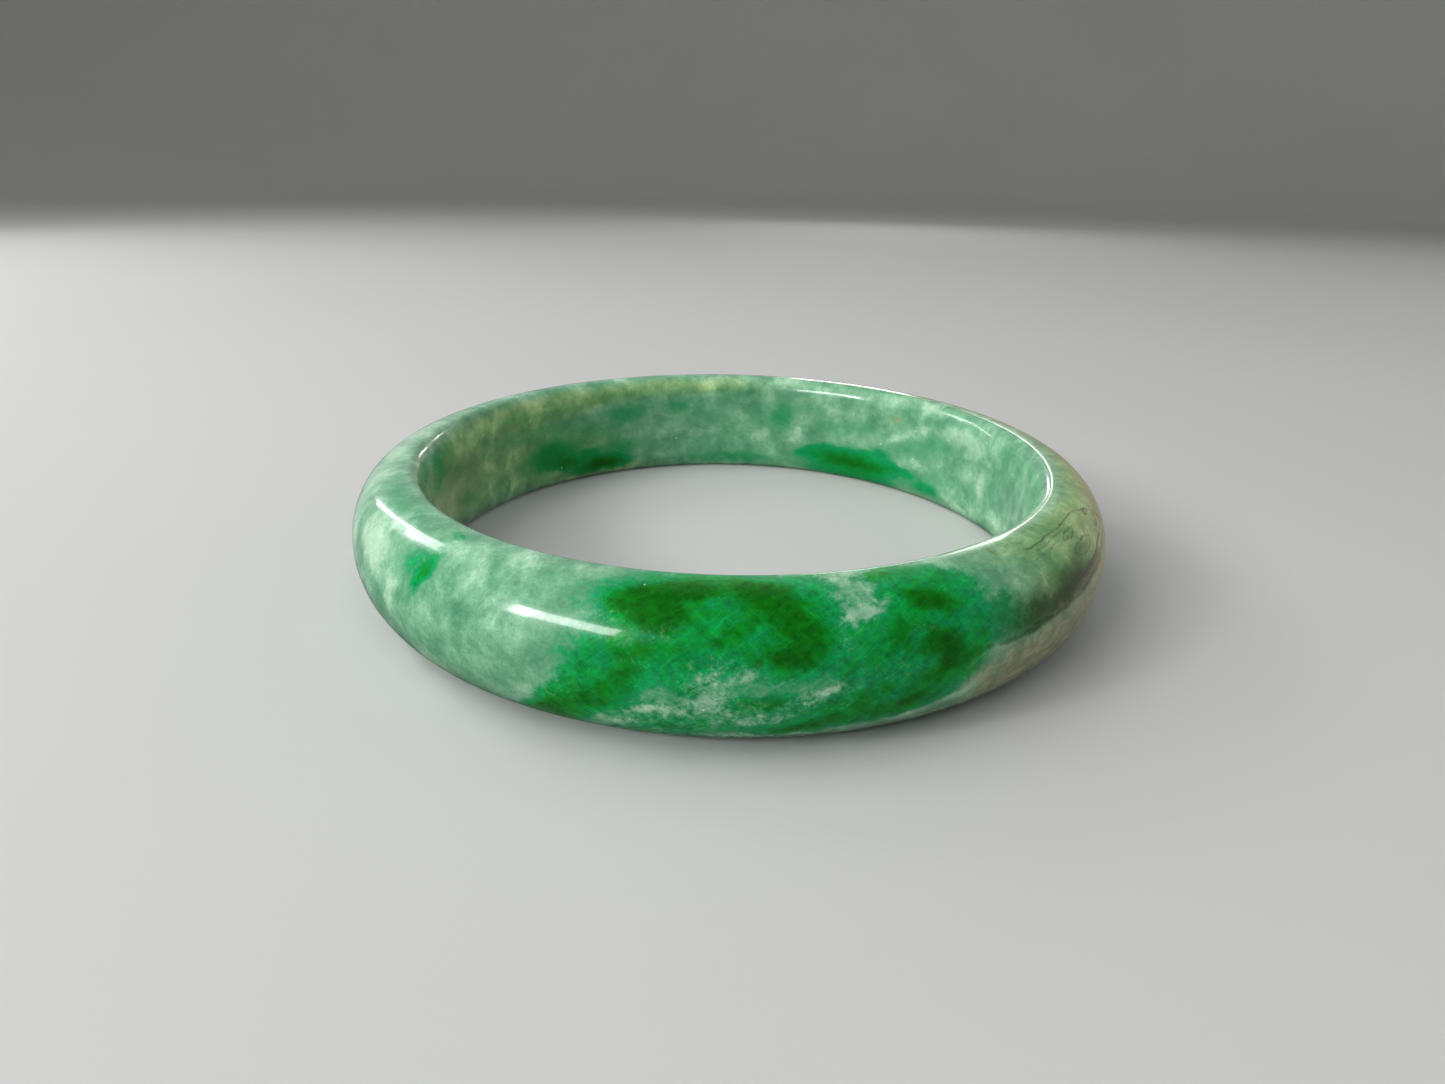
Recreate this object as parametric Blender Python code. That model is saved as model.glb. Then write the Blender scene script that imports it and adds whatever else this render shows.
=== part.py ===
"""A stone bangle, cut in one piece from one block and polished all over.

The ring lies flat, with its axis along +Z and its origin at the centre of its lower end. Its section
is a D: a straight inner wall against the wrist, an edge eased into a quarter ellipse at each end, a
narrow flat land that it lies on, and an elliptical dome outside. Lengths are in metres.
"""

import math

import bmesh
import bpy
from mathutils import Matrix, Vector

# Driving dimensions
INNER_DIAMETER = 0.058      # the hand opening, which is the size a bangle is sold by
RADIAL_THICKNESS = 0.0067   # from the inner wall to the crown of the dome
BAND_WIDTH = 0.012          # along the axis, from one end to the other
EDGE_DEPTH = 0.0014         # radial extent of the eased edge between the inner wall and each land
EDGE_HEIGHT = 0.0024        # extent of that edge along the axis
LAND_WIDTH = 0.0004         # radial width of the flat land at each end

# Fineness of the facets. The turn's steps are a multiple of 4, so that the ring meets both axes.
TURN_STEPS = 96
EDGE_STEPS = 6
DOME_STEPS = 20

# Worked out from the driving dimensions
INNER_RADIUS = INNER_DIAMETER / 2
OUTER_RADIUS = INNER_RADIUS + RADIAL_THICKNESS
EDGE_CENTRE_RADIUS = INNER_RADIUS + EDGE_DEPTH
DOME_FOOT_RADIUS = EDGE_CENTRE_RADIUS + LAND_WIDTH
DOME_DEPTH = OUTER_RADIUS - DOME_FOOT_RADIUS
HALF_WIDTH = BAND_WIDTH / 2

STONE_COLOUR = (0.13, 0.42, 0.23, 1.0)
STONE_ROUGHNESS = 0.08
STONE_REFRACTIVE_INDEX = 1.66


def clear_scene():
    for obj in list(bpy.data.objects):
        bpy.data.objects.remove(obj)


def stone_material():
    material = bpy.data.materials.new("green_stone")
    material.use_nodes = True
    shader = material.node_tree.nodes["Principled BSDF"]
    shader.inputs["Base Color"].default_value = STONE_COLOUR
    shader.inputs["Roughness"].default_value = STONE_ROUGHNESS
    shader.inputs["Metallic"].default_value = 0.0
    shader.inputs["IOR"].default_value = STONE_REFRACTIVE_INDEX
    return material


def ellipse_arc(centre, semi_axes, start, end, steps):
    """Points (radius, height) along an elliptical arc, both ends included. Angles are in degrees."""
    points = []
    for step in range(steps + 1):
        angle = math.radians(start + (end - start) * step / steps)
        points.append((
            centre[0] + semi_axes[0] * math.cos(angle),
            centre[1] + semi_axes[1] * math.sin(angle),
        ))
    return points


def section_outline():
    """The closed D section as (radius, height), going up the inner wall and down over the dome."""
    edge = (EDGE_DEPTH, EDGE_HEIGHT)
    upper_edge = ellipse_arc((EDGE_CENTRE_RADIUS, BAND_WIDTH - EDGE_HEIGHT), edge, 180, 90, EDGE_STEPS)
    dome = ellipse_arc((DOME_FOOT_RADIUS, HALF_WIDTH), (DOME_DEPTH, HALF_WIDTH), 90, -90, DOME_STEPS)
    lower_edge = ellipse_arc((EDGE_CENTRE_RADIUS, EDGE_HEIGHT), edge, 270, 180, EDGE_STEPS)
    return upper_edge + dome + lower_edge


def turned_ring(name, outline, steps):
    """Turns a closed outline through a full circle about Z, joined to itself with no seam."""
    mesh = bpy.data.meshes.new(name)
    shape = bmesh.new()
    rings = []
    for step in range(steps):
        turn = Matrix.Rotation(2 * math.pi * step / steps, 3, "Z")
        rings.append([shape.verts.new(turn @ Vector((radius, 0, height))) for radius, height in outline])
    for step, ring in enumerate(rings):
        following = rings[(step + 1) % steps]
        for index in range(len(outline)):
            after = (index + 1) % len(outline)
            shape.faces.new((ring[index], following[index], following[after], ring[after]))
    bmesh.ops.recalc_face_normals(shape, faces=shape.faces)
    shape.to_mesh(mesh)
    shape.free()
    mesh.shade_smooth()
    obj = bpy.data.objects.new(name, mesh)
    bpy.context.scene.collection.objects.link(obj)
    return obj


def main():
    clear_scene()
    ring = turned_ring("stone_ring", section_outline(), TURN_STEPS)
    ring.data.materials.append(stone_material())


main()
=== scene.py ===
"""The looks of a polished green stone bangle: its fine mesh, its stone, and a plain studio.

Places on the ring are given as an angle round its axis, in degrees (0 faces -Y and 90 faces +X), and a
rise, in millimetres along the section's outline: 0 on the crown of the dome, growing up over the rim
and down the inner wall, and negative below the crown.
"""

import math
from types import SimpleNamespace

import bpy
import numpy as np
from mathutils import Matrix, Vector, noise


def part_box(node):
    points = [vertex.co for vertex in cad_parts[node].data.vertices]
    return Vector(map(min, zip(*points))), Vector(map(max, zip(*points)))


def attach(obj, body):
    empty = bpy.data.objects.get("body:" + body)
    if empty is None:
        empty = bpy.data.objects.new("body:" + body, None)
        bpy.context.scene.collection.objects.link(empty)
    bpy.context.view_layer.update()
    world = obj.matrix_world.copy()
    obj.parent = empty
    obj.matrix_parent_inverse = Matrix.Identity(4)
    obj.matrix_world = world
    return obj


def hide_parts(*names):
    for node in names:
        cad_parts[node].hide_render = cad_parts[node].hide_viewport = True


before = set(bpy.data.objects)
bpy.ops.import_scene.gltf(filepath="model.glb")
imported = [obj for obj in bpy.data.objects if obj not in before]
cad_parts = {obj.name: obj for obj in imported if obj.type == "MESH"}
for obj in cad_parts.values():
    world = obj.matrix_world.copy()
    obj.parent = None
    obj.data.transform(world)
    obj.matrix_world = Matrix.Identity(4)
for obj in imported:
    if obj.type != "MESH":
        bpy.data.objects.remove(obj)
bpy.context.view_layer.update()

MM = 0.001

# ---------------------------------------------------------------- sizes, read from the CAD ring

# Points of the CAD ring this close to a face are taken to lie on it
ON_FACE = 0.01 * MM

ring_low, ring_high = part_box("stone_ring")
cad_points = np.array([vertex.co[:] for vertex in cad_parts["stone_ring"].data.vertices])
cad_radii = np.hypot(cad_points[:, 0], cad_points[:, 1])
top_radii = cad_radii[cad_points[:, 2] > ring_high[2] - ON_FACE]

OUTER_RADIUS = ring_high[0]
INNER_RADIUS = cad_radii.min()
BASE_Z = ring_low[2]
BAND_WIDTH = ring_high[2] - ring_low[2]
LAND_RADII = (top_radii.min(), top_radii.max())
WALL_TOP = cad_points[cad_radii < INNER_RADIUS + ON_FACE, 2].max() - BASE_Z
EDGE_SIZE = (LAND_RADII[0] - INNER_RADIUS, BAND_WIDTH - WALL_TOP)

# Fineness of the visible mesh: steps round the ring, and along each part of its section
TURN_STEPS = 560
DOME_STEPS = 60
EDGE_STEPS = 16
WALL_STEPS = 18
LAND_STEPS = 2

# Past this rise, in mm, which is on the lower land, rises are counted down from the crown instead
LOWER_LAND_RISE = 22.5
# Between these rises, in mm, the dome's looks turn into the inner wall's
RIM_RISES = (9.0, 11.0)

# The hand-ground surface dips below the true section by up to this much, in a long wave and a short one:
# the size of each in mm, and its share
GRINDING_DIP = 0.025 * MM
GRINDING_WAVES = ((7, 1.0), (2.6, 0.35))
# The surface this close to the top and bottom heights isn't ground, so that the ring rests flat
RESTING_HEIGHT = 0.02 * MM


# ---------------------------------------------------------------- the ring's mesh

def arc(centre, semi_axes, start, end, steps):
    """Points (radius, height) along an elliptical arc without its last point. Angles are in degrees."""
    angles = np.radians(np.linspace(start, end, steps, endpoint=False))
    return np.stack([centre[0] + semi_axes[0] * np.cos(angles), centre[1] + semi_axes[1] * np.sin(angles)], 1)


def straight(start, end, steps):
    """Points along a straight stretch without its last point."""
    share = np.linspace(0, 1, steps, endpoint=False)[:, None]
    return np.array(start) * (1 - share) + np.array(end) * share


def section_outline():
    """The closed section as (radius, height), from the crown over the top, down the wall and round."""
    middle = BAND_WIDTH / 2
    dome = (OUTER_RADIUS - LAND_RADII[1], middle)
    upper, lower = WALL_TOP, BAND_WIDTH - WALL_TOP
    return np.concatenate([
        arc((LAND_RADII[1], middle), dome, 0, 90, DOME_STEPS),
        straight((LAND_RADII[1], BAND_WIDTH), (LAND_RADII[0], BAND_WIDTH), LAND_STEPS),
        arc((LAND_RADII[0], upper), EDGE_SIZE, 90, 180, EDGE_STEPS),
        straight((INNER_RADIUS, upper), (INNER_RADIUS, lower), WALL_STEPS),
        arc((LAND_RADII[0], lower), EDGE_SIZE, 180, 270, EDGE_STEPS),
        straight((LAND_RADII[0], 0), (LAND_RADII[1], 0), LAND_STEPS),
        arc((LAND_RADII[1], middle), dome, -90, 0, DOME_STEPS),
    ])


def rises_along(outline):
    """How far along the outline each of its points lies, and the whole way round, in millimetres."""
    steps = np.linalg.norm(np.diff(np.vstack([outline, outline[:1]]), axis=0), axis=1)
    ends = np.cumsum(steps)
    return np.concatenate([[0], ends[:-1]]) / MM, ends[-1] / MM


def inward_directions(outline):
    """For each point of the outline, the direction square to it that leads into the stone."""
    forward = np.roll(outline, -1, 0) - np.roll(outline, 1, 0)
    inward = np.stack([-forward[:, 1], forward[:, 0]], 1)
    return inward / np.linalg.norm(inward, axis=1)[:, None]


def turned_ring(name, outline):
    """The outline turned through a full circle, ground very slightly uneven, as a closed mesh."""
    angles = 2 * math.pi * np.arange(TURN_STEPS) / TURN_STEPS
    inward = inward_directions(outline)
    points = []
    for angle in angles:
        across = Vector((math.sin(angle), -math.cos(angle), 0))
        for (radius, height), (in_radius, in_height) in zip(outline, inward):
            true_place = across * radius + Vector((0, 0, height + BASE_Z))
            wave = sum(share * noise.noise(true_place / (size * MM)) for size, share in GRINDING_WAVES)
            resting = min(height, BAND_WIDTH - height) < RESTING_HEIGHT
            dip = 0 if resting else GRINDING_DIP * min(1, max(0, 0.5 + 0.5 * wave))
            points.append(true_place + across * in_radius * dip + Vector((0, 0, in_height * dip)))
    count = len(outline)
    faces = []
    for turn in range(TURN_STEPS):
        start, following = turn * count, (turn + 1) % TURN_STEPS * count
        for index in range(count):
            after = (index + 1) % count
            faces.append((start + index, following + index, following + after, start + after))
    mesh = bpy.data.meshes.new(name)
    mesh.from_pydata([tuple(point) for point in points], [], faces)
    mesh.shade_smooth()
    ring = bpy.data.objects.new(name, mesh)
    bpy.context.scene.collection.objects.link(ring)
    return ring, points


# ---------------------------------------------------------------- the stone's clouds, listed one by one

# Each patch: angle (degrees), rise (mm), half length along the ring (mm), half height (mm), tilt (degrees,
# positive rises towards greater angles), strength. Patches of one kind overlap without piling up.
PATCHES = {
    # emerald
    "green": [
        (-2, 7.0, 6.8, 2.3, 0, 1.0), (-3, 4.6, 6.6, 2.2, 0, 0.95), (-6, 2.4, 7.0, 1.7, 3, 0.9),
        (5, 3.4, 4.6, 2.4, 0, 0.95), (-12, 1.0, 4.2, 1.8, 22, 0.9), (-15, -0.7, 3.2, 1.5, 30, 0.9),
        (-18.5, -2.6, 3.0, 1.4, 30, 0.95), (-21, -4.4, 2.8, 1.3, 22, 0.95), (-24, -6, 2.6, 1.2, 10, 0.8),
        (19.5, 8.2, 1.2, 0.7, 0, 0.7), (23.5, 7.4, 3.4, 1.0, -8, 0.75), (23.5, 6.0, 3.4, 1.4, -6, 0.85),
        (23.5, 4.4, 3.6, 1.4, 0, 0.9), (19.5, 3.0, 3.8, 1.2, 0, 0.85), (24.5, 1.8, 3.4, 1.4, 0, 0.95),
        (29, 4.6, 1.6, 2.2, 0, 0.3), (34.5, 3.0, 3.0, 1.6, 0, 0.28), (-6, -2.0, 6.0, 1.4, 4, 0.36),
        (5, -1.8, 6.0, 1.4, 8, 0.30),
        (16, 1.6, 3.6, 1.3, 0, 0.85), (23, -0.3, 4.2, 1.2, 0, 0.95), (16, -0.9, 3.0, 0.8, 10, 0.7),
        (20, -2.0, 4.2, 1.1, 8, 0.9), (12.5, -2.9, 3.6, 0.9, 10, 0.7), (7, -3.6, 2.6, 0.7, 8, 0.6),
        (-6.5, -3.1, 2.2, 0.5, 0, 0.6), (-8, -4.6, 3.2, 0.6, 0, 0.6), (0, -5.4, 8, 0.8, 0, 0.5),
        (4, -0.9, 1.8, 0.5, 0, 0.8), (-4, 0.2, 1.8, 0.5, -8, 0.7),
        (-40.1, 3.9, 2.1, 0.62, 62, 0.85), (-42.3, 4.8, 1.8, 1.0, 50, 0.30), (-40.2, 7.7, 0.8, 0.5, 0, 0.65),
        (-37.6, 8.2, 0.8, 0.4, 0, 0.3),
        (143, 19.0, 4.8, 1.1, 0, 0.98), (151, 18.6, 4.4, 1.2, 4, 0.98), (157, 18.3, 2.6, 0.8, 6, 0.7),
        (140, 17.6, 2.2, 0.8, 0, 0.5), (133, 18.6, 1.8, 0.6, 0, 0.6), (147, 20.8, 5.5, 1.1, 0, 0.7),
        (125, 20.0, 2.2, 0.8, 0, 0.4), (166, 14.2, 1.4, 1.4, 0, 0.18),
        (213, 19.6, 3.4, 1.1, 0, 0.95), (219, 18.7, 3.4, 1.2, 0, 0.8), (227, 17.8, 3.0, 1.6, 0, 0.6),
        (209, 17.6, 1.8, 1.0, 0, 0.3), (207, 13.6, 2.6, 1.2, 0, 0.16), (192.5, 13.0, 1.2, 1.0, 0, 0.16),
        (182, 20.4, 6.0, 0.8, 0, 0.3),
        (112, -2.0, 4.0, 1.6, 14, 0.35), (176, 2.6, 5.0, 1.6, -12, 0.42), (186, 0.6, 3.4, 1.0, 10, 0.36),
        (216, -1.6, 4.4, 1.5, 18, 0.38), (246, 3.2, 2.6, 1.2, -20, 0.30),
        (264, 14.4, 2.8, 0.8, -5, 0.3), (257, 18.2, 1.8, 0.9, 0, 0.25), (272, 13.0, 2, 2, 0, 0.5),
    ],
    # deep yellowish green inside the emerald
    "deep": [
        (-10.5, 6.0, 2.0, 0.9, 14, 0.8), (-7.5, 6.6, 2.6, 1.1, 14, 0.95), (-8.5, 4.9, 1.7, 0.9, 0, 0.85),
        (-4.0, 7.0, 1.6, 0.5, 0, 0.6), (-6.2, 5.0, 0.9, 0.8, 30, 0.5), (1.0, 7.1, 1.6, 0.4, 0, 0.5),
        (3.6, 6.9, 1.5, 0.9, 0, 0.9), (5.4, 6.0, 1.6, 1.2, -20, 0.95), (8.2, 5.8, 1.0, 0.7, 0, 0.5),
        (6.6, 4.4, 1.0, 1.1, 0, 0.7), (9.2, 3.8, 0.9, 1.2, 10, 0.8), (7.8, 2.2, 1.5, 1.1, 0, 0.9),
        (5.6, 1.9, 1.1, 0.8, 0, 0.6), (2.9, 1.7, 0.25, 0.5, 10, 0.8), (1.6, 4.5, 1.4, 0.4, 12, 0.45),
        (-1.6, 3.3, 1.2, 0.35, 15, 0.4), (-10.5, 2.2, 1.4, 0.5, 25, 0.4), (-12, 0.4, 1.4, 0.4, 25, 0.35),
        (-16, -1.8, 1.6, 0.5, 35, 0.3), (-21, -3.4, 1.4, 0.6, 25, 0.7), (-19, -4.8, 1.6, 0.5, 10, 0.2),
        (21.6, 5.7, 1.1, 0.5, -20, 0.75), (24.5, 5.2, 1.3, 0.7, -15, 0.9), (22.6, 4.9, 0.5, 0.5, 0, 0.6),
        (18.6, 3.1, 0.8, 0.8, 30, 0.35), (24, 2.3, 1.5, 0.8, 0, 0.9), (25.2, 0.8, 1.7, 0.8, 10, 1.0),
        (29, 1.0, 1.2, 0.5, 0, 0.5), (20.8, -1.5, 1.3, 0.5, 8, 0.5), (17, 0.0, 0.9, 0.3, 15, 0.2),
        (9, -3.2, 1.9, 0.5, 10, 0.25), (-6, -3.3, 1.0, 0.3, 0, 0.25),
        (148, 19.2, 2.6, 0.8, 0, 0.45), (140, 19.2, 1.6, 0.6, 0, 0.2),
        (213.5, 19.8, 2.2, 0.9, 0, 0.95), (218.5, 20.6, 2.2, 0.8, 0, 0.7), (263, 14.5, 1.4, 0.5, 0, 0.45),
        (258, 18.3, 1, 0.6, 0, 0.35), (224, 18.6, 1.6, 0.7, 0, 0.35),
    ],
    # milky clouds and streaks that thin the green, with a painted soft reflection under the left dome's
    # highlight and painted glow of light shining through the inner right wall
    "pale": [
        (14.6, 6.6, 1.8, 1.5, 0, 0.45), (14.8, 4.9, 1.7, 0.7, 12, 0.65), (14.5, 8.4, 2.6, 0.8, 0, 0.35),
        (-2.4, 0.0, 1.3, 1.0, 12, 0.55), (1.9, 1.0, 0.7, 0.3, 0, 0.7), (-0.6, 1.6, 1.2, 0.25, 40, 0.4),
        (-4.5, -1.4, 3.0, 0.7, 8, 0.5), (-9.5, -1.7, 1.6, 0.4, 14, 0.5), (1.5, -1.8, 2.4, 0.8, 0, 0.5),
        (-11, -3.2, 2.2, 0.5, 10, 0.5), (-2, -2.8, 3.0, 0.5, 4, 0.45), (6.5, -1.7, 2.6, 0.5, 16, 0.35),
        (9.0, -0.5, 2.4, 0.4, 14, 0.45), (12.4, 0.1, 1.3, 0.4, 4, 0.40), (12, -1.3, 1.6, 0.5, 10, 0.25),
        (-3, -4.4, 5.4, 0.5, 0, 0.5), (5, -4.9, 4, 0.5, 4, 0.4), (19, -3.9, 3.4, 0.5, 10, 0.4),
        (26, -2.9, 2.6, 0.5, 16, 0.5), (30, -1.4, 1.4, 0.8, 20, 0.5),
        # painted reflection: the very pale patches at -55.5 and -56.5 degrees paint a soft reflection under
        # the left dome's highlight
        (-55.5, 4.1, 3.2, 1.3, -12, 1.0), (-56.5, 3.9, 2.4, 1.0, 0, 1.0), (-52, 2.8, 2.0, 0.8, -30, 0.6),
        (-72, 4.7, 3.8, 1.3, -30, 1.0), (-84, 7.4, 6.0, 1.2, 0, 1.0), (-94, 7.6, 6.0, 1.4, 0, 0.8),
        (-47, 1.0, 0.7, 1.6, -20, 0.45), (-66, 1.6, 2.6, 0.9, 0, 0.7), (-62, 0.2, 3.4, 1.0, 0, 0.5),
        # painted glow: the patches at 115.5 and 112 degrees and the upright one at 106.5 degrees paint light
        # shining through the inner right wall
        (115.5, 12.3, 2.2, 0.8, 0, 1.0), (112, 13.4, 1.4, 0.7, 0, 0.5), (106.5, 16.4, 0.8, 1.6, 4, 0.7),
        (163, 16.6, 1.0, 0.7, 20, 0.7), (172, 17.2, 1.4, 0.8, 20, 0.5), (135, 14.8, 2.2, 0.5, 20, 0.4),
        (128, 17.2, 1.6, 0.5, -20, 0.4), (197, 16.2, 2.0, 0.7, 0, 0.3), (251, 16.0, 2.4, 0.8, 30, 0.12),
        # painted glow: the upright patch at 93 degrees paints light shining through the inner right wall
        (266, 16.4, 0.4, 1.8, 14, 0.15), (93, 17.6, 0.7, 2.2, 0, 0.4), (98, 18.6, 1.4, 0.9, 0, 0.5),
        (241, 10.9, 5.0, 0.7, 0, 0.5), (250, 11.6, 4.0, 0.8, 0, 0.5), (258, 12.2, 3.0, 0.6, 0, 0.4),
        (222, 10.4, 7.0, 0.7, 0, 0.3), (204, 10.2, 7.0, 0.7, 0, 0.3), (186, 10.1, 7.0, 0.8, 0, 0.35),
        (46, 7.2, 5.0, 0.9, 0, 0.2), (57, 5.8, 5.0, 1.1, 0, 0.4), (66, 4.8, 4.0, 1.8, 0, 0.7),
        (76, 6.0, 5.0, 1.8, 0, 0.5), (88, 7.0, 6.0, 1.6, 0, 0.15), (61, 3.4, 1.2, 0.4, 8, 0.5),
        (134, 3.4, 5.0, 1.6, -12, 0.8), (160, 4.6, 4.0, 1.4, 0, 0.5), (196, -3.4, 5.0, 1.4, 8, 0.6),
        (228, 2.4, 4.0, 1.6, -14, 0.8), (254, 1.6, 3.0, 1.4, 20, 0.6), (168, 9.9, 7.0, 0.6, 0, 0.3),
        (140, 10.4, 7.0, 0.8, 0, 0.4), (120, 9.8, 7.0, 0.7, 0, 0.4),
    ],
    # small bright crystals showing in the stone
    "snow": [
        (-34, 4.0, 1.6, 0.9, 10, 1.0), (-36.5, 3.2, 0.9, 0.4, 0, 1.0), (-23, 3.4, 1.6, 0.6, 10, 1.0),
        (-36, 6.4, 1.0, 0.8, 20, 0.6), (-26, 0.6, 2.4, 1.4, 0, 0.5), (-20, -0.6, 1.8, 1.4, 0, 0.5),
        (-2.0, 0.6, 2.0, 1.6, 10, 0.7), (2, 1.1, 0.9, 0.5, 0, 0.8), (0, -1.0, 3.6, 1.2, 0, 0.45),
        (-8, 3.8, 1.2, 0.4, 20, 0.6), (-9.6, 1.6, 1.2, 0.4, 0, 0.4), (12, 0, 2.2, 0.8, 10, 0.3),
        (14.8, 4.9, 1.2, 0.6, 10, 0.8), (13, 3.2, 0.8, 0.7, 0, 0.4), (22, 3.2, 1.0, 0.4, 0, 0.4),
        (-9, -2.2, 2.4, 0.6, 12, 0.6), (7, -1.4, 3.0, 0.6, 14, 0.4), (-15, 4.6, 2.0, 0.7, 0, 0.7),
        (-45, 3.8, 1.0, 2.4, -20, 0.5), (-12, 3.0, 1.6, 0.5, 0, 0.4), (17.5, 1.2, 1.6, 0.6, 0, 0.35),
    ],
    # soft mid green under the surface
    "veil": [
        (-62, 8.1, 4.6, 1.2, 0, 1.0), (-54, 7.7, 4.4, 1.0, 8, 0.95), (-46, 8.0, 3.0, 0.6, 10, 0.6),
        (-43, 4.4, 2.0, 1.8, -20, 0.8), (-46, 3.4, 1.6, 1.4, 0, 0.7), (-52, 1.2, 3.0, 1.0, 0, 0.8),
        (-48, -0.4, 2.4, 0.8, 0, 0.6), (-57, 1.6, 1.4, 0.9, 0, 0.8), (-43, 1.2, 1.6, 0.8, 0, 0.5),
        (-68, 5.6, 1.6, 0.8, 0, 0.4), (-50, -2.0, 4.0, 0.8, 0, 0.4),
        (-30, 6.0, 2.2, 0.6, -8, 0.35), (-26, 4.8, 2.2, 0.5, -8, 0.35), (-21, 5.2, 2.6, 1.4, 0, 0.3),
        (-31, 2.0, 1.6, 0.8, 10, 0.3), (-24, -1.6, 2.2, 0.8, 0, 0.4), (-33, -1.2, 2.6, 0.8, 0, 0.3),
        (-1, -1.4, 8.0, 1.8, 4, 0.9), (8, -1.6, 5.0, 1.8, 10, 0.9), (-4, -3.8, 9.0, 1.2, 0, 0.8),
        (16, -3.6, 6.0, 1.2, 10, 0.7), (14.2, 6.2, 2.4, 2.4, 0, 0.7), (13, 8.4, 4.0, 0.8, 0, 0.5),
        (33, 5.4, 2.4, 1.6, 0, 0.5), (34.5, 4.2, 1.0, 0.6, 30, 0.8), (32, 2.6, 2.2, 1.2, 0, 0.9),
        (37, 2.0, 3.4, 0.9, 0, 0.9), (42, 2.0, 3.0, 0.9, 0, 0.7), (30, -0.4, 1.4, 1.2, 0, 0.6),
        (50, 2.6, 4.0, 0.9, 0, 0.5), (52, 8.8, 4.0, 0.6, 0, 0.3), (80, 8.2, 8, 0.6, 0, 0.3),
        (128, 15.2, 3.6, 1.7, 10, 1.0), (122, 14.0, 2.8, 1.2, 0, 0.9), (136, 16.2, 2.6, 1.2, 0, 0.8),
        (118, 17.6, 2.2, 1.2, 0, 0.7), (124, 19.0, 2.6, 1.4, 0, 0.8), (102, 15.6, 1.0, 2.6, 4, 0.9),
        (98, 14.4, 1.4, 2.6, 0, 0.9), (112, 17.2, 1.0, 1.4, 0, 0.6), (145, 14.4, 3.0, 1.4, 0, 0.9),
        (153, 15.2, 3.0, 1.5, 0, 0.9), (168, 14.6, 3.0, 2.4, 0, 1.0), (172, 13.6, 2.4, 1.2, 0, 0.8),
        (178, 16.4, 3.0, 2.0, 0, 1.0), (160, 13.2, 3.0, 1.0, 0, 0.8), (187, 14.4, 3.6, 1.6, 0, 0.9),
        (196, 13.4, 3.0, 1.0, 0, 0.9), (190, 18.4, 3.6, 1.4, 0, 0.8), (203, 17.0, 3.0, 2.2, 0, 0.8),
        (184, 12.6, 4.0, 0.8, 0, 0.7), (201, 12.8, 3.0, 0.7, 0, 0.6), (174, 19.2, 4.0, 1.2, 0, 0.8),
        (208, 13.4, 3.2, 1.6, 0, 0.9), (216, 15.2, 5.0, 2.0, 0, 1.0), (226, 14.6, 5.0, 1.6, 0, 1.0),
        (232, 17.6, 4.0, 2.0, 0, 0.9), (240, 14.0, 4.0, 0.9, 0, 0.8), (260, 15.6, 3.4, 2.2, 0, 0.9),
        (150, 20.6, 20, 1.6, 0, 0.6), (262, 18.6, 4.0, 1.4, 0, 0.4), (270, 14, 4, 2.4, 0, 0.7),
        (110, 1.0, 8, 2.6, 10, 0.6), (150, -2.4, 9, 2.2, 6, 0.5), (178, 3.0, 9, 2.6, -8, 0.8),
        (212, -2.0, 9, 2.4, 12, 0.7), (240, 3.6, 7, 2.2, -8, 0.6), (262, -1.0, 5, 2.0, 0, 0.4),
        (300, 15, 20, 3, 0, 0.4), (330, 14, 14, 3, 0, 0.4), (20, 15, 20, 3, 0, 0.4),
    ],
    # yellowish cast
    "warm": [
        (45, 7.2, 6.5, 1.5, 0, 0.5), (55, 6.2, 7.5, 1.9, 0, 0.75), (66, 5.5, 7.5, 2.4, 0, 1.0),
        (44, 3.8, 5.0, 1.6, 0, 0.5), (53, 3.6, 5.0, 1.8, 0, 0.9), (80, 6.6, 8, 1.6, 0, 0.8),
        (242, 11.6, 9, 1.7, 0, 0.85), (226, 11.6, 7, 1.4, 0, 0.7), (212, 11.0, 7, 1.2, 0, 0.6),
        (198, 10.6, 7, 1.1, 0, 0.6), (183, 10.4, 7, 1.1, 0, 0.6), (258, 12.6, 7, 1.6, 0, 0.9),
        (250, 16.5, 11, 3.6, 0, 0.8), (228, 17.5, 9, 3.4, 0, 0.8), (214, 20.6, 7, 1.2, 0, 0.8),
        (268, 15.0, 5, 2.6, 0, 0.7), (148, 20.4, 6, 0.8, 0, 0.5), (136, 12.6, 1.0, 0.6, 0, 0.6),
    ],
    # beige grey skin of the stone
    "skin": [
        (36, -2.4, 4.4, 3.2, 0, 0.7), (46, -2.3, 7.0, 3.5, 0, 0.9), (58, -1.9, 7.0, 3.3, 0, 1.0),
        (69, -0.4, 6.5, 3.2, 0, 1.0), (77, 2.4, 5.0, 3.2, 0, 0.95), (85, 3.8, 6.5, 2.8, 0, 0.9),
        (97, 3.8, 7.5, 3.0, 0, 0.8), (70, 5.2, 2.4, 1.0, 0, 0.5), (136, 12.6, 0.8, 0.5, 0, 0.5),
    ],
    # dark olive smoke, which on the inner left wall is partly the stone's own dark olive and partly painted
    # shade
    "smoke_and_shade": [
        (67.3, 5.0, 0.7, 0.35, 0, 0.6), (64.0, 6.1, 1.0, 0.3, 0, 0.45), (59.5, 5.6, 1.4, 0.5, 0, 0.4),
        (54, 2.3, 3.6, 0.7, 3, 1.0), (48, 2.1, 3.2, 0.9, 0, 0.9), (42, 2.0, 3.2, 1.1, 0, 0.75),
        (58.5, 2.1, 2.0, 0.5, 6, 1.0), (50, 3.4, 2.8, 0.9, 0, 0.55), (36, 2.6, 3.0, 1.3, 0, 0.45),
        (43, 3.8, 3.0, 0.9, 0, 0.35), (34, 4.4, 1.6, 0.6, 20, 0.25), (55.8, 4.4, 2.2, 0.65, 0, 0.42),
        # partly painted shade: the broad patches at 262 and 246 degrees darken the inner left wall
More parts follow.
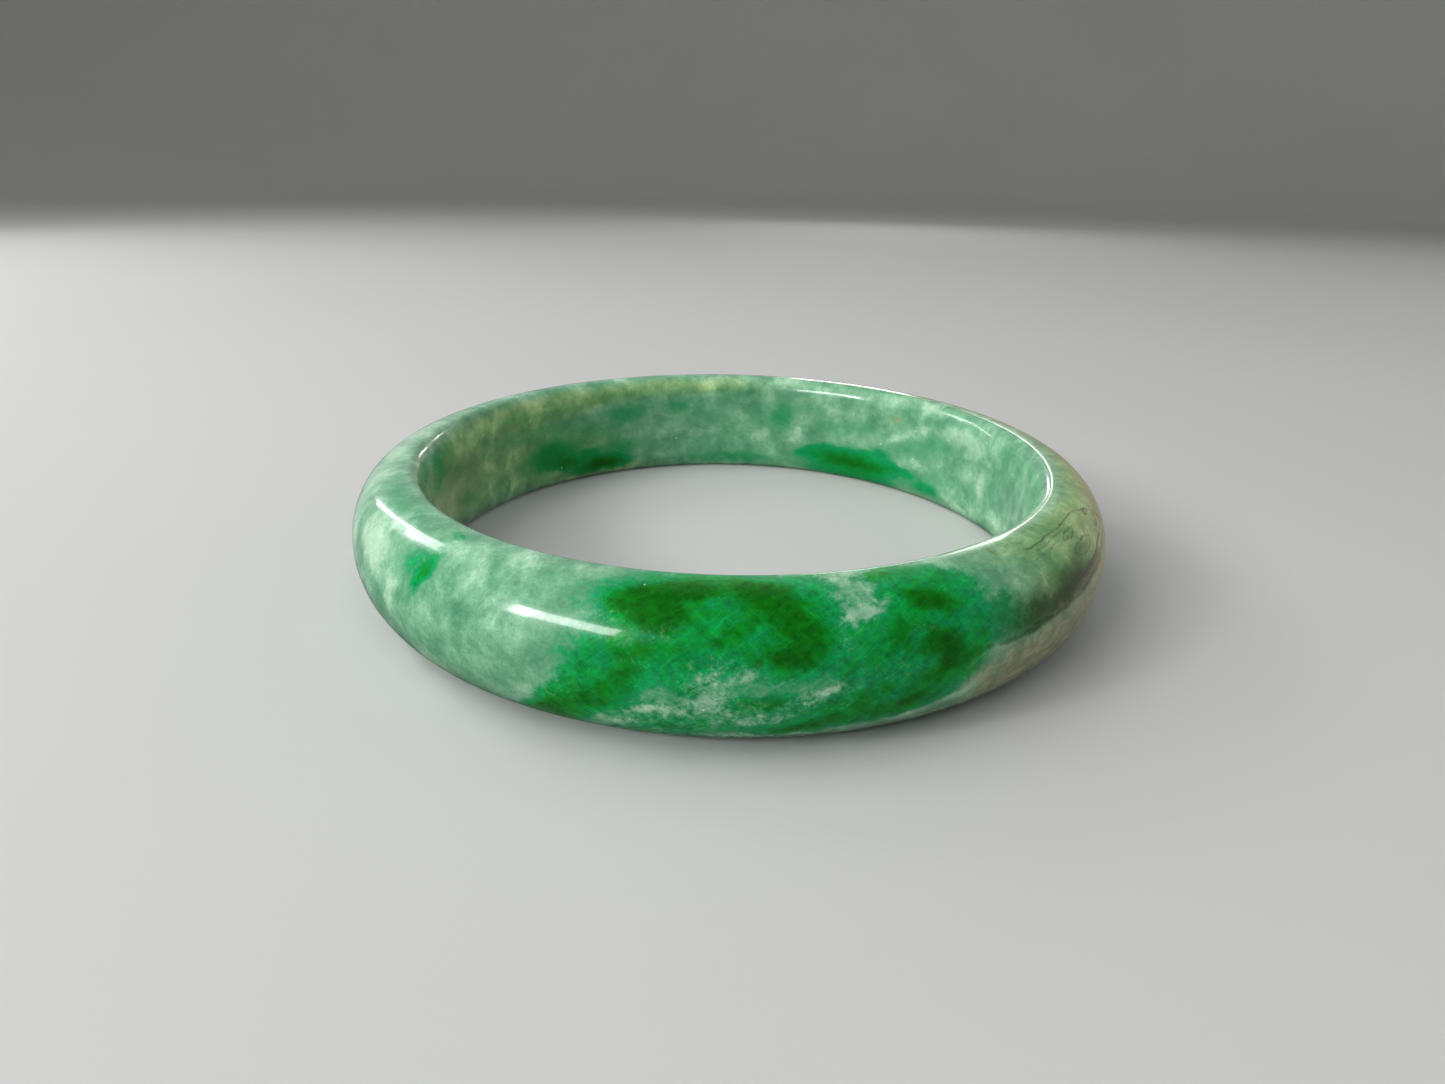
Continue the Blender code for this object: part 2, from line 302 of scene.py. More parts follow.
        (53.8, 6.0, 0.8, 0.3, 15, 0.4), (262, 15.6, 5.0, 4.2, 0, 0.42), (246, 16.2, 5.0, 3.4, 0, 0.22),
        (241, 12.6, 2.0, 0.5, 0, 0.25), (215, 11.8, 1.6, 0.4, 0, 0.3), (37.6, 7.6, 0.5, 0.6, -30, 0.5),
    ],
    # fine dark lines along the ring
    "brushed": [
        (47, 7.2, 5.0, 1.1, -4, 0.9), (56, 6.4, 4.5, 0.9, 0, 0.5), (40, 6.0, 3.0, 1.0, 0, 0.3),
        (75, 7.4, 7.0, 0.8, 0, 0.5), (60, 8.3, 6.0, 0.5, 0, 0.4),
    ],
    # brown strands along the ring
    "strands": [
        (54, 2.2, 3.4, 0.8, 3, 0.9), (59, 1.9, 2.0, 0.5, 6, 1.0), (65, 3.4, 2.0, 0.8, 16, 0.9),
        (47, 1.6, 3.0, 0.5, 0, 0.5), (53, 4.6, 2.0, 0.4, 0, 0.5),
    ],
}

# The dark seam over the skin: angle, rise, half length, half height, tilt and strength of its parts
SEAM = [
    (31.5, 1.15, 1.3, 0.30, 3, 0.5), (34.8, 1.00, 1.2, 0.34, 4, 0.7), (39.5, 1.15, 1.9, 0.42, 3, 1.0),
    (44, 1.25, 2.4, 0.30, 2, 0.5), (50, 1.45, 3.0, 0.34, 2, 0.5), (57, 1.65, 3.0, 0.30, 4, 0.5),
]

# Thin brown veins in the skin: half width in mm, strength, and the (angle, rise) places they run through
VEINS = [
    (0.17, 1.0, [(68.2, 4.9), (69, 4.1), (68.5, 3.3), (64.5, 2.8), (61.2, 2.2), (58, 1.9), (54, 1.65),
                 (51, 1.5)]),
    (0.15, 0.9, [(64.5, 3.6), (61, 3.2), (58, 2.9), (55, 2.7), (52, 2.5), (49, 2.3)]),
    (0.13, 0.8, [(66.3, 3.6), (66, 4.2), (67.2, 4.8)]),
    (0.11, 0.6, [(42.5, 6.7), (48, 6.9), (52.2, 6.9), (56, 7.0), (59.8, 6.9), (63, 6.5), (66, 5.9),
                 (68.2, 4.9)]),
    (0.11, 0.6, [(51.6, 5.8), (53.0, 6.3), (55.6, 6.35), (55.8, 6.0), (53.8, 5.65), (51.6, 5.8)]),
    (0.13, 0.55, [(52, 4.3), (54, 4.9), (57, 5.0), (59.5, 4.6), (58, 4.0), (55, 3.8), (52, 4.3)]),
    (0.09, 0.5, [(44, 6.3), (50, 6.5), (54, 6.6)]),
    (0.09, 0.5, [(43, 5.7), (48, 6.0), (51, 6.1)]),
    (0.12, 0.7, [(63.4, 5.8), (64.6, 6.15), (65.4, 5.8), (64.2, 5.6), (63.4, 5.8)]),
]

# How fast a patch fades across its edge, and by which power of the distance
PATCH_FADE = 0.7
PATCH_FADE_POWER = 3

# Patch outlines wander by a slow and a quicker wave: size of the wave and how far it pushes, in mm. The
# seam and the veins wander by this share of that.
WANDER = ((4.2, 0.5), (1.3, 0.35))
SEAM_WANDER = 0.40
# Where in the noise the waves along the ring and up it are read
WANDER_CORNERS = (Vector((3.7, 11.2, 5.1)), Vector((23.9, 7.3, 31.6)))


def ring_places(outline, points, share):
    """For each point of the mesh: its angle in degrees, radius and rise in mm, after wandering.

    The last of the four values is the whole way round the section, in mm.
    """
    rises, around = rises_along(outline)
    degrees = np.repeat(360 * np.arange(TURN_STEPS) / TURN_STEPS, len(outline))
    radius = np.tile(outline[:, 0], TURN_STEPS) / MM
    rise = np.tile(rises, TURN_STEPS)
    push = np.zeros((len(points), 2))
    for size, reach in WANDER:
        push += share * reach * np.array([
            [noise.noise(point / (size * MM) + corner) for corner in WANDER_CORNERS] for point in points])
    return degrees + np.degrees(push[:, 0] / radius), radius, rise + push[:, 1], around


def offsets(places, angle, height):
    """How far each point of the mesh lies from one place, in mm along the ring and up the section."""
    degrees, radius, rise, around = places
    along = np.radians((degrees - angle + 180) % 360 - 180) * radius
    up = (rise - height + around / 2) % around - around / 2
    return along, up


def lay_patches(places, patches):
    """How strongly the patches cover each point of the mesh, 0 to 1. Each is a soft-edged ellipse."""
    bare = np.ones(len(places[0]))
    for angle, height, half_length, half_height, tilt, strength in patches:
        along, up = offsets(places, angle, height)
        lean = math.radians(tilt)
        length = (along * math.cos(lean) + up * math.sin(lean)) / half_length
        width = (up * math.cos(lean) - along * math.sin(lean)) / half_height
        fade = PATCH_FADE * (length ** 2 + width ** 2) ** (PATCH_FADE_POWER / 2)
        bare *= 1 - strength * np.exp(-fade)
    return 1 - bare


def lay_lines(places, lines):
    """How near each point of the mesh is to the lines, from 0 well away to a line's strength on it."""
    radius = places[1]
    nearness = np.zeros(len(radius))
    for half_width, strength, stops in lines:
        for (angle, height), (next_angle, next_height) in zip(stops, stops[1:]):
            along, up = offsets(places, angle, height)
            length = np.radians(next_angle - angle) * radius
            climb = next_height - height
            share = np.clip((along * length + up * climb) / (length ** 2 + climb ** 2), 0, 1)
            distance = np.hypot(along - share * length, up - share * climb)
            nearness = np.maximum(nearness, strength * np.exp(-(distance / half_width) ** 2))
    return nearness


def add_clouds(ring, outline, points):
    """Writes the strength of every kind of patch and line, and the rise, to the mesh's points."""
    places = ring_places(outline, points, 1.0)
    rises, around = rises_along(outline)
    rises = np.where(rises > LOWER_LAND_RISE, rises - around, rises)
    fields = {name: lay_patches(places, patches) for name, patches in PATCHES.items()}
    steady_places = ring_places(outline, points, SEAM_WANDER)
    fields["seam"] = lay_patches(steady_places, SEAM)
    fields["veins"] = lay_lines(steady_places, VEINS)
    fields["rise"] = np.tile(rises, TURN_STEPS)
    for name, values in fields.items():
        attribute = ring.data.attributes.new(name, "FLOAT", "POINT")
        attribute.data.foreach_set("value", values.astype(np.float32))


# ---------------------------------------------------------------- node helpers

# The share of a crystal grain's radius within which it is at full strength
GRAIN_CORE = 0.4


class Nodes:
    """Short ways to add nodes to one material or world."""

    def __init__(self, owner):
        self.tree = owner.node_tree

    def add(self, kind, **settings):
        node = self.tree.nodes.new(kind)
        for name, value in settings.items():
            setattr(node, name, value)
        return node

    def join(self, value, socket):
        """Feeds a socket from another node's output, or sets it to a plain value."""
        if isinstance(value, bpy.types.NodeSocket):
            self.tree.links.new(value, socket)
        else:
            socket.default_value = value

    def math(self, operation, first, second):
        node = self.add("ShaderNodeMath", operation=operation)
        self.join(first, node.inputs[0])
        self.join(second, node.inputs[1])
        return node.outputs[0]

    def total(self, *values):
        result = values[0]
        for value in values[1:]:
            result = self.math("ADD", result, value)
        return result

    def times(self, *values):
        result = values[0]
        for value in values[1:]:
            result = self.math("MULTIPLY", result, value)
        return result

    def swing(self, value, amount):
        """A noise value, centred on zero and made amount times as strong."""
        return self.times(self.math("SUBTRACT", value, 0.5), amount)

    def attribute(self, name):
        return self.add("ShaderNodeAttribute", attribute_name=name).outputs["Fac"]

    def step(self, value, low, high):
        """0 at low and beyond it, 1 at high and beyond it, and smooth between. Either may be the greater."""
        node = self.add("ShaderNodeMapRange", interpolation_type="SMOOTHSTEP")
        self.join(value, node.inputs["Value"])
        node.inputs["From Min"].default_value = low
        node.inputs["From Max"].default_value = high
        return node.outputs["Result"]

    def mix(self, share, first, second, blend="MIX"):
        node = self.add("ShaderNodeMix", data_type="RGBA", blend_type=blend)
        self.join(share, node.inputs[0])
        self.join(first, node.inputs[6])
        self.join(second, node.inputs[7])
        return node.outputs[2]

    def toned(self, colour, cast):
        """The colour, multiplied by a cast."""
        return self.mix(1.0, colour, cast, "MULTIPLY")

    def ramp(self, value, stops):
        """A colour read off a list of (position, colour), for a value from 0 to 1."""
        node = self.add("ShaderNodeValToRGB")
        self.join(value, node.inputs[0])
        elements = node.color_ramp.elements
        for position, colour in stops[1:-1]:
            elements.new(position).color = colour
        elements[0].position, elements[0].color = stops[0]
        elements[-1].position, elements[-1].color = stops[-1]
        return node.outputs[0]

    def noise(self, place, scale, detail, roughness=0.55, output="Fac"):
        node = self.add("ShaderNodeTexNoise")
        self.join(place, node.inputs["Vector"])
        node.inputs["Scale"].default_value = scale
        node.inputs["Detail"].default_value = detail
        node.inputs["Roughness"].default_value = roughness
        return node.outputs[output]

    def crystals(self, place, scale, radius, limit):
        """1 inside small round grains. Only the cells with a random grey below the limit have one."""
        cells = self.add("ShaderNodeTexVoronoi")
        self.join(place, cells.inputs["Vector"])
        cells.inputs["Scale"].default_value = scale
        chosen = self.math("LESS_THAN", cells.outputs["Color"], limit)
        edge, core = radius * scale, GRAIN_CORE * radius * scale
        return self.times(self.step(cells.outputs["Distance"], edge, core), chosen)

    def scaled(self, place, scale):
        """The place, scaled along each axis."""
        node = self.add("ShaderNodeVectorMath", operation="MULTIPLY")
        self.join(place, node.inputs[0])
        node.inputs[1].default_value = scale
        return node.outputs[0]

    def bend(self, place, amount, scale, detail):
        """The place, pushed about by a noise, so that what is drawn there meanders."""
        push = self.noise(place, scale, detail, output="Color")
        centred = self.add("ShaderNodeVectorMath", operation="SUBTRACT")
        self.join(push, centred.inputs[0])
        centred.inputs[1].default_value = (0.5, 0.5, 0.5)
        pushed = self.add("ShaderNodeVectorMath", operation="MULTIPLY_ADD")
        self.join(centred.outputs[0], pushed.inputs[0])
        pushed.inputs[1].default_value = (amount,) * 3
        self.join(place, pushed.inputs[2])
        return pushed.outputs[0]


# ---------------------------------------------------------------- materials

# Colours of the pale ground, from its darker to its lighter clouds
CELADON = [
    (0.22, (0.085, 0.31, 0.165, 1)),
    (0.42, (0.155, 0.43, 0.24, 1)),
    (0.58, (0.26, 0.57, 0.345, 1)),
    (0.88, (0.66, 0.98, 0.70, 1)),
]
# Colours by how much green there is, as a share of the range: about 0.3 in the veils, 0.8 in the emerald
# and 1.3 in the deep green
GREENS_RANGE = 1.7
GREENS = [
    (0.09, (0.13, 0.43, 0.24, 1)),
    (0.19, (0.05, 0.39, 0.165, 1)),
    (0.30, (0.008, 0.36, 0.115, 1)),
    (0.43, (0.001, 0.32, 0.070, 1)),
    (0.56, (0.001, 0.24, 0.022, 1)),
    (0.70, (0.001, 0.15, 0.003, 1)),
    (1.00, (0.001, 0.10, 0.001, 1)),
]
# the milk's colour, also laid over the painted glow and painted reflection among the pale patches
MILK_AND_PAINTED_LIGHT = (0.24, 0.48, 0.31, 1)
SNOW = (0.50, 0.86, 0.62, 1)
SKIN_LIGHT = (0.52, 0.49, 0.29, 1)
SKIN_DARK = (0.29, 0.32, 0.19, 1)
# dark olive of the smoke and the brushed lines, also laid as painted shade on the inner left wall
SMOKE_AND_SHADE = (0.042, 0.062, 0.003, 1)
SEAM_GREEN = (0.012, 0.09, 0.010, 1)
VEIN_BROWN = (0.055, 0.055, 0.010, 1)
WHITE = (1, 1, 1, 1)

# Casts that colours are multiplied by
WARM_CAST = (1.12, 0.98, 0.64, 1)
YELLOWISH_CAST = (0.9, 1.0, 0.66, 1)
BLUISH_CAST = (1.0, 1.0, 1.12, 1)

# How much of the clouds' raggedness and detail the inner wall loses
WALL_SOFTNESS = 0.55
# What the hairlines, the fibres and the grain vary the brightness round
BASE_BRIGHTNESS = 0.91

# A clear sharp polish over a slightly hazy one, and a little light carried under the surface
POLISH = {
    "Roughness": 0.24,
    "IOR": 1.38,
    "Coat Weight": 0.6,
    "Coat Roughness": 0.06,
    "Coat IOR": 1.5,
    "Subsurface Weight": 0.15,
    "Subsurface Radius": (0.6, 1.0, 0.7),
    "Subsurface Scale": 0.7 * MM,
}


def fibres(n, place, lean, length, width, detail, roughness):
    """A noise of meandering fibres, with their length and width in mm.

    They rise to the right in front where lean is negative and fall where it is positive. Their
    coordinates follow the section's outline instead of the height, so that they keep their width over
    the rim.
    """
    split = n.add("ShaderNodeSeparateXYZ")
    n.join(place, split.inputs[0])
    along = n.add("ShaderNodeCombineXYZ")
    n.join(split.outputs[0], along.inputs[0])
    n.join(split.outputs[1], along.inputs[1])
    n.join(n.total(n.attribute("rise"), n.times(split.outputs[0], lean)), along.inputs[2])
    bent = n.bend(along.outputs[0], 1.9, 0.5, 4)
    return n.noise(n.scaled(bent, (1 / length, 1 / length, 1 / width)), 1.0, detail, roughness)


def stone_noises(n):
    """The noises that the stone is made of, each round about 0.5, and the place in mm they are read at."""
    place = n.scaled(n.add("ShaderNodeTexCoord").outputs["Object"], (1 / MM, 1 / MM, 1 / MM))
    drifting = n.bend(place, 2.4, 0.25, 3)
    return SimpleNamespace(
        place=place,
        clouds=n.noise(drifting, 0.32, 4, 0.5),
        mottle=n.noise(drifting, 0.95, 6, 0.62),
        fine=n.noise(place, 3.4, 4, 0.65),
        hue=n.noise(n.bend(place, 2.0, 0.4, 2), 0.55, 3, 0.5),
        tufts=n.noise(n.bend(place, 0.8, 0.9, 3), 1.3, 7, 0.72),
        flakes=n.noise(place, 2.2, 6, 0.75),
        dust=n.noise(place, 6.0, 3, 0.8),
        rising=fibres(n, place, -0.55, 1.9, 0.50, 6, 0.66),
        falling=fibres(n, place, 0.60, 1.5, 0.42, 6, 0.66),
        level=fibres(n, place, 0.0, 5.0, 0.32, 5, 0.6),
    )


def raggedness(n, noises, crisp):
    """How far the edges of clouds are pushed out or in, round zero."""
    edges = n.total(n.swing(noises.rising, 0.9), n.swing(noises.falling, 0.55),
                    n.swing(noises.mottle, 0.9), n.swing(noises.fine, 0.20))
    return n.times(edges, crisp)


def milk_and_painted_light(n, noises):
    """How milky the stone is, from 0 to 1, with cottony edges. At the painted glow and the painted reflection
    among the pale patches, it carries that painted light as well.
    """
    pale = n.attribute("pale")
    cottony = n.total(pale, n.swing(noises.tufts, 2.2), n.swing(noises.rising, 1.2),
                      n.swing(noises.falling, 0.8))
    return n.times(n.step(cottony, 0.10, 0.95), n.step(pale, 0.0, 0.30))


def greenness(n, ragged, pale):
    """How green the stone is, on the scale of GREENS. The emerald has the most ragged edges."""
    emerald = n.attribute("green")
    torn = n.times(ragged, n.total(0.38, n.times(n.step(emerald, 0.0, 0.5), 0.42)))
    return n.total(n.times(emerald, 0.82), n.times(n.attribute("deep"), 0.56),
                   n.times(n.attribute("veil"), 0.30), n.times(pale, -0.42), torn)


def pale_ground(n, noises):
    """The colour of the pale stone between the greens."""
    # the pale patches lighten the ground, the painted glow and painted reflection among them too
    tone = n.total(0.50, n.swing(noises.clouds, 1.05), n.swing(noises.tufts, 0.30),
                   n.swing(noises.mottle, 0.25), n.swing(noises.fine, 0.10),
                   n.times(n.attribute("pale"), 0.38))
    return n.ramp(tone, CELADON)


def with_greens(n, noises, colour, green, inside):
    """The colour with the greens over it, yellowish or bluish where they are strong."""
    tinted = n.ramp(n.math("DIVIDE", green, GREENS_RANGE), GREENS)
    bluish = n.step(n.total(noises.hue, n.times(inside, 0.22)), 0.38, 0.62)
    cast = n.mix(bluish, YELLOWISH_CAST, BLUISH_CAST)
    tinted = n.mix(n.step(green, 0.4, 0.7), tinted, n.toned(tinted, cast))
    return n.mix(n.step(green, 0.05, 0.50), colour, tinted)


def with_milk_and_painted_light(n, noises, colour, pale, green, inside):
    """The colour with milk (and the painted glow and painted reflection among the pale patches), snow in its
    patches, and frost on the pale ground of the dome.
    """
    colour = n.mix(n.times(pale, 0.35), colour, MILK_AND_PAINTED_LIGHT)
    frost = n.times(n.math("SUBTRACT", 1.0, inside), n.step(noises.clouds, 0.42, 0.60),
                    n.step(green, 0.30, 0.05))
    snowy = n.math("MAXIMUM", n.attribute("snow"), n.times(frost, 0.5))
    snow = n.times(snowy, n.step(n.total(noises.flakes, n.swing(noises.falling, 0.5)), 0.50, 0.68))
    return n.mix(n.times(snow, 0.32), colour, SNOW)


def with_skin(n, noises, colour, ragged):
    """The colour with a yellowish cast, brushed lines, dark olive smoke that is partly painted shade on the
    inner left wall, beige skin and the dark seam over it.
    """
    warm = n.step(n.total(n.attribute("warm"), n.times(ragged, 0.3)), 0.05, 0.95)
    colour = n.mix(warm, colour, n.toned(colour, WARM_CAST))
    brushed = n.times(n.step(noises.level, 0.46, 0.62), n.attribute("brushed"))
    colour = n.mix(n.times(brushed, 0.34), colour, SMOKE_AND_SHADE)
    # smoke, which on the inner left wall is partly painted shade
    smoke_and_shade = n.step(n.total(n.attribute("smoke_and_shade"), n.times(ragged, 0.5)), 0.05, 1.0)
    colour = n.mix(n.times(smoke_and_shade, 0.93), colour, SMOKE_AND_SHADE)
    lightness = n.step(n.total(noises.mottle, n.swing(noises.level, 0.6)), 0.35, 0.68)
    skin = n.step(n.total(n.attribute("skin"), n.times(ragged, 0.6)), 0.10, 0.95)
    colour = n.mix(n.times(skin, 0.9), colour, n.mix(lightness, SKIN_DARK, SKIN_LIGHT))
    seam = n.total(n.attribute("seam"), n.swing(noises.tufts, 1.4), n.swing(noises.level, 1.2))
    return n.mix(n.times(n.step(seam, 0.30, 0.95), 0.75), colour, SEAM_GREEN)


def with_veins_and_grains(n, noises, colour):
    """The colour with brown veins and strands, bright grains and a few dark ones."""
    drawn = n.attribute("veins")
    veins = n.times(n.step(n.total(drawn, n.swing(noises.tufts, 0.9)), 0.18, 0.62), n.step(drawn, 0.0, 0.2))
    strands = n.times(n.step(noises.level, 0.50, 0.60), n.step(n.attribute("strands"), 0.1, 0.8))
    colour = n.mix(n.times(n.math("MAXIMUM", veins, strands), 0.75), colour, VEIN_BROWN)
    colour = n.mix(n.times(n.crystals(noises.place, 0.50, 0.12, 0.30), 0.75), colour, WHITE)
    return n.mix(n.times(n.crystals(noises.place, 0.27, 0.14, 0.22), 0.8), colour, SEAM_GREEN)


def stone_brightness(n, noises, green, crisp):
    """Light hairlines, feathery fibres in the greens and a fine grain, as a factor on the colour."""
    hairs = n.math("MAXIMUM", n.step(fibres(n, noises.place, -0.7, 2.2, 0.09, 4, 0.6), 0.50, 0.74),
                   n.step(fibres(n, noises.place, 0.9, 1.8, 0.09, 4, 0.6), 0.52, 0.76))
    hair_strength = n.math("MAXIMUM", n.times(n.step(noises.clouds, 0.40, 0.62), 0.20),
                           n.times(n.step(green, 0.35, 0.70), 0.55))
    feathery = n.total(noises.rising, n.swing(noises.tufts, 0.8))
    feathers = n.times(n.swing(feathery, 1.8), n.step(green, 0.3, 0.7))
    detail = n.total(n.swing(noises.fine, 0.36), n.swing(noises.dust, 0.40), n.swing(noises.tufts, 0.30),
                     feathers, n.times(hairs, hair_strength))
    return n.total(BASE_BRIGHTNESS, n.times(detail, crisp))


def stone_colour(n):
    """The stone's colour, built up layer by layer. Its larger clouds come from the mesh's attributes."""
    noises = stone_noises(n)
    inside = n.step(n.attribute("rise"), *RIM_RISES)
    crisp = n.math("SUBTRACT", 1.0, n.times(inside, WALL_SOFTNESS))
    ragged = raggedness(n, noises, crisp)
    pale = milk_and_painted_light(n, noises)
    # milk, with the painted glow and painted reflection of some pale patches
    green = greenness(n, ragged, pale)

    colour = pale_ground(n, noises)
    colour = with_greens(n, noises, colour, green, inside)
    colour = with_milk_and_painted_light(n, noises, colour, pale, green, inside)
    colour = with_skin(n, noises, colour, ragged)
    colour = with_veins_and_grains(n, noises, colour)

    scaled = n.add("ShaderNodeVectorMath", operation="SCALE")
    n.join(colour, scaled.inputs[0])
    n.join(stone_brightness(n, noises, green, crisp), scaled.inputs["Scale"])
    return scaled.outputs[0]


def jade_material():
    material = bpy.data.materials.new("green_stone_polished")
    material.use_nodes = True
    n = Nodes(material)
    shader = material.node_tree.nodes["Principled BSDF"]
    n.join(stone_colour(n), shader.inputs["Base Color"])
    for socket, value in POLISH.items():
        shader.inputs[socket].default_value = value
    return material


FLOOR_DARKER = (0.60, 0.60, 0.59, 1)
FLOOR_LIGHTER = (0.64, 0.64, 0.63, 1)
FLOOR_ROUGHNESS = 0.85


def floor_material():
    material = bpy.data.materials.new("pale_floor")
    material.use_nodes = True
    n = Nodes(material)
    shader = material.node_tree.nodes["Principled BSDF"]
    coordinates = n.add("ShaderNodeTexCoord").outputs["Object"]
    clouds = n.noise(coordinates, 9, 3)
    n.join(n.mix(clouds, FLOOR_DARKER, FLOOR_LIGHTER), shader.inputs["Base Color"])
    shader.inputs["Roughness"].default_value = FLOOR_ROUGHNESS
    return material


# ---------------------------------------------------------------- the studio

# The floor's flat part, the sweep round it and the wall above, in metres, and how finely they are cut
FLOOR_FLAT_RADIUS = 0.75
FLOOR_FLAT_STEP = 0.02
FLOOR_SWEEP_RADIUS = 0.35
FLOOR_SWEEP_STEPS = 16
FLOOR_WALL_HEIGHT = 0.9
FLOOR_TURNS = 96


def studio_floor():
    """A round pale floor that curves up into a wall all round."""
    flat_steps = int(FLOOR_FLAT_RADIUS / FLOOR_FLAT_STEP)
    outline = [(FLOOR_FLAT_STEP * step, 0.0) for step in range(1, flat_steps + 1)]
    for step in range(1, FLOOR_SWEEP_STEPS + 1):
        angle = math.radians(90 * step / FLOOR_SWEEP_STEPS)
        outline.append((FLOOR_FLAT_RADIUS + FLOOR_SWEEP_RADIUS * math.sin(angle),
                        FLOOR_SWEEP_RADIUS * (1 - math.cos(angle))))
    outline.append((outline[-1][0], FLOOR_WALL_HEIGHT))
    points = [(0, 0, BASE_Z)]
    for radius, height in outline:
        for turn in range(FLOOR_TURNS):
            angle = 2 * math.pi * turn / FLOOR_TURNS
            points.append((radius * math.cos(angle), radius * math.sin(angle), height + BASE_Z))
    faces = [(0, 1 + turn, 1 + (turn + 1) % FLOOR_TURNS) for turn in range(FLOOR_TURNS)]
    for ring in range(len(outline) - 1):
        for turn in range(FLOOR_TURNS):
            after = (turn + 1) % FLOOR_TURNS
            near, far = 1 + ring * FLOOR_TURNS, 1 + (ring + 1) * FLOOR_TURNS
            faces.append((near + turn, far + turn, far + after, near + after))
    mesh = bpy.data.meshes.new("studio_floor")
    mesh.from_pydata(points, [], faces)
    mesh.shade_smooth()
    mesh.materials.append(floor_material())
    floor = bpy.data.objects.new("studio_floor", mesh)
    bpy.context.scene.collection.objects.link(floor)
    floor.visible_glossy = False


RING_CENTRE = Vector((0, 0, BASE_Z + BAND_WIDTH / 2))

# Each light: direction it comes from (degrees round from -Y towards +X, and above the horizon), how far
# its top leans to the right in degrees, as seen from behind it, its distance, width and height in metres,
# power in watts, and whether it shows in the polish.
LIGHTS = {
    "window_behind_left_low": (-128.5, 20, 16, 0.50, 0.024, 0.17, 0.12, True),
    "window_behind_left": (-120.0, 31.5, 20, 0.50, 0.095, 0.095, 0.24, True),
    "window_behind_left_haze": (-116.5, 26.5, 38, 0.50, 0.06, 0.15, 0.05, True),
    "window_front_left": (-46, 27, 0, 0.50, 0.25, 0.075, 0.80, True),
    "window_front_left_end": (-59, 25.5, 0, 0.50, 0.06, 0.09, 0.24, True),
    "slot_behind_right": (160.7, 20.5, 0, 0.55, 0.050, 0.054, 0.060, True),
    "slot_behind": (170.8, 12.8, 0, 0.55, 0.081, 0.034, 0.070, True),
    "key_left": (-80, 45, 0, 0.60, 0.50, 0.50, 2.1, False),
    "overhead": (0, 80, 0, 0.60, 0.60, 0.60, 0.70, False),
    "fill_right": (100, 28, 0, 0.60, 0.40, 0.40, 0.45, False),
}


def add_light(name, around, above, lean, distance, width, height, power, in_polish):
    """One area light that faces the ring's centre."""
    data = bpy.data.lights.new(name, "AREA")
    data.shape = "RECTANGLE"
    data.size = width
    data.size_y = height
    data.energy = power
    light = bpy.data.objects.new(name, data)
    turn, lift = math.radians(around), math.radians(above)
    towards = Vector((math.sin(turn) * math.cos(lift), -math.cos(turn) * math.cos(lift), math.sin(lift)))
    light.location = RING_CENTRE + towards * distance
    leaning = Matrix.Rotation(math.radians(-lean), 3, "Z")
    light.rotation_euler = (towards.to_track_quat("Z", "Y").to_matrix() @ leaning).to_euler()
    light.visible_camera = False
    light.visible_glossy = in_polish
    bpy.context.scene.collection.objects.link(light)


# How bright the surroundings are, and their colours
WORLD_FRONT = 0.07
WORLD_BEHIND = 0.38
WORLD_LEFT_COLOUR = (0.95, 0.98, 1.0, 1)
WORLD_RIGHT_COLOUR = (1.0, 0.92, 0.66, 1)
# The ranges of a direction's y, z, x and y over which the surroundings turn brighter backwards and
# upwards, and warmer rightwards and backwards
BRIGHTER_BACKWARDS = (0.0, 0.9)
BRIGHTER_UPWARDS = (-0.62, -0.20)
WARMER_RIGHTWARDS = (-0.10, 0.25)
WARMER_BACKWARDS = (0.3, 0.8)


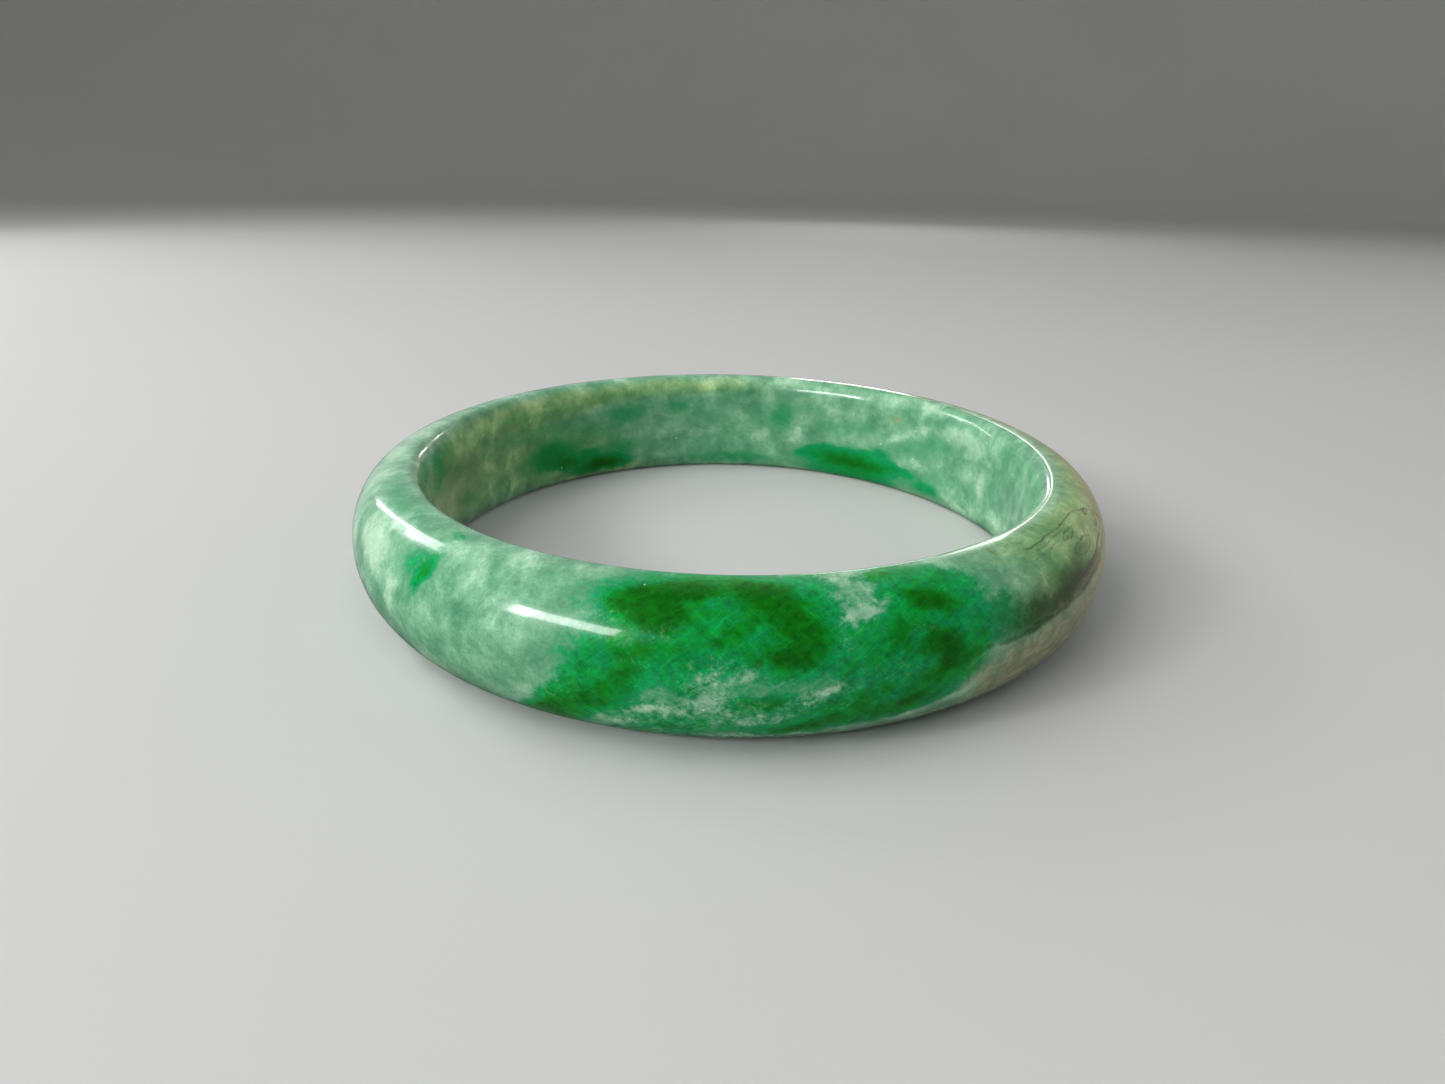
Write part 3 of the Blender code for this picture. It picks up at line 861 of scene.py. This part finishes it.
def soft_world():
    """Plain soft surroundings: dim in front and below, brighter behind, and warmer on the right behind."""
    world = bpy.data.worlds.new("soft_world")
    world.use_nodes = True
    n = Nodes(world)
    background = world.node_tree.nodes["Background"]
    direction = n.add("ShaderNodeSeparateXYZ")
    n.join(n.add("ShaderNodeTexCoord").outputs["Generated"], direction.inputs[0])
    x, y, z = direction.outputs
    behind = n.times(n.step(y, *BRIGHTER_BACKWARDS), n.step(z, *BRIGHTER_UPWARDS))
    strength = n.total(WORLD_FRONT, n.times(behind, WORLD_BEHIND - WORLD_FRONT))
    n.join(strength, background.inputs["Strength"])
    right = n.times(n.step(x, *WARMER_RIGHTWARDS), n.step(y, *WARMER_BACKWARDS))
    n.join(n.mix(right, WORLD_LEFT_COLOUR, WORLD_RIGHT_COLOUR), background.inputs["Color"])
    bpy.context.scene.world = world


# The camera's place from the ring's centre on the floor, its angles in degrees, its lens and sensor in
# millimetres, and the nearest distance it shows, in metres
CAMERA_PLACE = (-0.56 * MM, -85.7 * MM, 38.2 * MM)
CAMERA_DOWN = 23.2
CAMERA_ROLL = 1.1
CAMERA_LENS = 22.4
CAMERA_SENSOR = 36
CAMERA_NEAREST = 0.005


def add_camera():
    data = bpy.data.cameras.new("camera")
    data.lens = CAMERA_LENS
    data.sensor_width = CAMERA_SENSOR
    data.sensor_fit = "HORIZONTAL"
    data.clip_start = CAMERA_NEAREST
    camera = bpy.data.objects.new("camera", data)
    tilt = Matrix.Rotation(math.radians(90 - CAMERA_DOWN), 4, "X")
    roll = Matrix.Rotation(math.radians(CAMERA_ROLL), 4, "Z")
    camera.matrix_world = Matrix.Translation(Vector(CAMERA_PLACE) + Vector((0, 0, BASE_Z))) @ tilt @ roll
    bpy.context.scene.collection.objects.link(camera)
    bpy.context.scene.camera = camera


# ---------------------------------------------------------------- putting it together

def main():
    """Builds the ring and its studio. Colours are shown as the materials give them."""
    bpy.context.scene.view_settings.view_transform = "Standard"
    outline = section_outline()
    ring, points = turned_ring("jade_bangle", outline)
    add_clouds(ring, outline, points)
    ring.data.materials.append(jade_material())
    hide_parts("stone_ring")
    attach(ring, "root")
    studio_floor()
    for name, light in LIGHTS.items():
        add_light(name, *light)
    soft_world()
    add_camera()


main()
